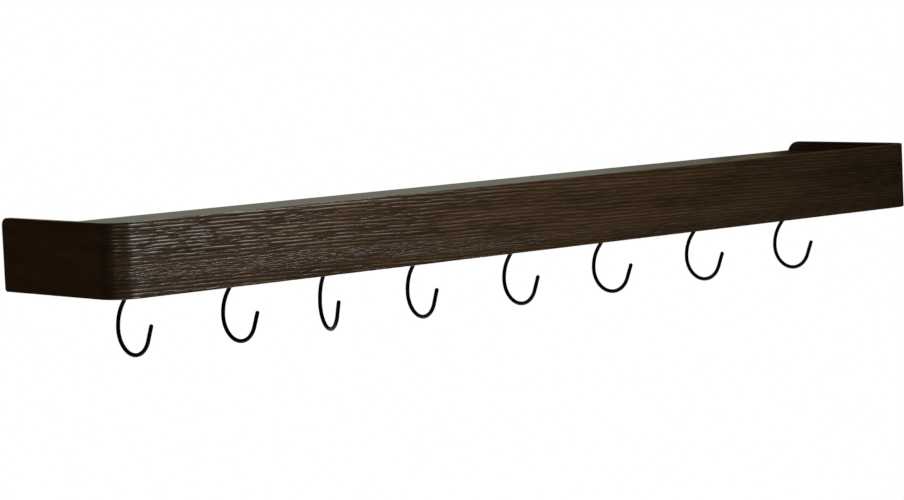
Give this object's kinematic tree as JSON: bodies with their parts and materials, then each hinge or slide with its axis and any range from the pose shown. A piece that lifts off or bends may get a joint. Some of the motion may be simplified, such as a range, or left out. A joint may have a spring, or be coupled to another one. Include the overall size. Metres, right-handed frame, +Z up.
{
  "type": "wall coat rack",
  "caption": "Wall coat rack: a U-shaped moulded oak band with a let-in hat shelf, and bent-wire hooks that slide along a hidden channel and swivel.",
  "frame": {"origin": "on the wall plane, midway along the rack, at the height of the batten's screw holes", "axes": "+X along the rack to the right as seen from the room, +Y into the wall, +Z up"},
  "size_m": [1.2, 0.206, 0.1527],
  "materials": {
    "stained_oak_band": "dark-stained open-grained oak veneer, satin lacquer",
    "stained_oak_shelf": "dark-stained oak veneer, satin lacquer",
    "beech": "planed",
    "birch_plywood": "sanded, clear oil",
    "screw_steel": "zinc-plated",
    "anodised_aluminium": "black anodised",
    "black_nylon": "moulded",
    "black_acetal": "moulded",
    "black_wire": "black, satin powder coat"
  },
  "bodies": {
    "rack": {"moulded_band": "stained_oak_band", "shelf_board": "stained_oak_shelf", "front_cleat": "beech", "left_side_cleat": "beech", "right_side_cleat": "beech", "hanging_rail": "birch_plywood", "wall_batten": "birch_plywood", "shelf_dowels": "beech", "front_cleat_screws": "screw_steel", "side_cleat_screws": "screw_steel", "hook_rail": "anodised_aluminium", "hook_rail_screws": "screw_steel", "left_end_stop": "black_nylon", "right_end_stop": "black_nylon"},
    "glider_1": {"glider_1": "black_acetal"},
    "hook_1": {"hook_1": "black_wire"},
    "glider_2": {"glider_2": "black_acetal"},
    "hook_2": {"hook_2": "black_wire"},
    "glider_3": {"glider_3": "black_acetal"},
    "hook_3": {"hook_3": "black_wire"},
    "glider_4": {"glider_4": "black_acetal"},
    "hook_4": {"hook_4": "black_wire"},
    "glider_5": {"glider_5": "black_acetal"},
    "hook_5": {"hook_5": "black_wire"},
    "glider_6": {"glider_6": "black_acetal"},
    "hook_6": {"hook_6": "black_wire"},
    "glider_7": {"glider_7": "black_acetal"},
    "hook_7": {"hook_7": "black_wire"},
    "glider_8": {"glider_8": "black_acetal"},
    "hook_8": {"hook_8": "black_wire"}
  },
  "joints": [
    {"name": "slide_1", "type": "slide", "parent": "rack", "child": "glider_1", "axis": [1, 0, 0], "range_m": [-0.054, 0.034]},
    {"name": "swivel_1", "type": "hinge", "parent": "glider_1", "child": "hook_1", "pos_m": [-0.50136, -0.089, 0.0338], "axis": [0, 0, 1], "continuous": true},
    {"name": "slide_2", "type": "slide", "parent": "rack", "child": "glider_2", "axis": [1, 0, 0], "range_m": [-0.034, 0.027]},
    {"name": "swivel_2", "type": "hinge", "parent": "glider_2", "child": "hook_2", "pos_m": [-0.363, -0.089, 0.0338], "axis": [0, 0, 1], "continuous": true},
    {"name": "slide_3", "type": "slide", "parent": "rack", "child": "glider_3", "axis": [1, 0, 0], "range_m": [-0.027, 0.031]},
    {"name": "swivel_3", "type": "hinge", "parent": "glider_3", "child": "hook_3", "pos_m": [-0.2394, -0.089, 0.0338], "axis": [0, 0, 1], "continuous": true},
    {"name": "slide_4", "type": "slide", "parent": "rack", "child": "glider_4", "axis": [1, 0, 0], "range_m": [-0.031, 0.04]},
    {"name": "swivel_4", "type": "hinge", "parent": "glider_4", "child": "hook_4", "pos_m": [-0.10608, -0.089, 0.0338], "axis": [0, 0, 1], "continuous": true},
    {"name": "slide_5", "type": "slide", "parent": "rack", "child": "glider_5", "axis": [1, 0, 0], "range_m": [-0.04, 0.038]},
    {"name": "swivel_5", "type": "hinge", "parent": "glider_5", "child": "hook_5", "pos_m": [0.04368, -0.089, 0.0338], "axis": [0, 0, 1], "continuous": true},
    {"name": "slide_6", "type": "slide", "parent": "rack", "child": "glider_6", "axis": [1, 0, 0], "range_m": [-0.038, 0.042]},
    {"name": "swivel_6", "type": "hinge", "parent": "glider_6", "child": "hook_6", "pos_m": [0.18936, -0.089, 0.0338], "axis": [0, 0, 1], "continuous": true},
    {"name": "slide_7", "type": "slide", "parent": "rack", "child": "glider_7", "axis": [1, 0, 0], "range_m": [-0.042, 0.043]},
    {"name": "swivel_7", "type": "hinge", "parent": "glider_7", "child": "hook_7", "pos_m": [0.3444, -0.089, 0.0338], "axis": [0, 0, 1], "continuous": true},
    {"name": "slide_8", "type": "slide", "parent": "rack", "child": "glider_8", "axis": [1, 0, 0], "range_m": [-0.043, 0.054]},
    {"name": "swivel_8", "type": "hinge", "parent": "glider_8", "child": "hook_8", "pos_m": [0.50112, -0.089, 0.0338], "axis": [0, 0, 1], "continuous": true}
  ]
}
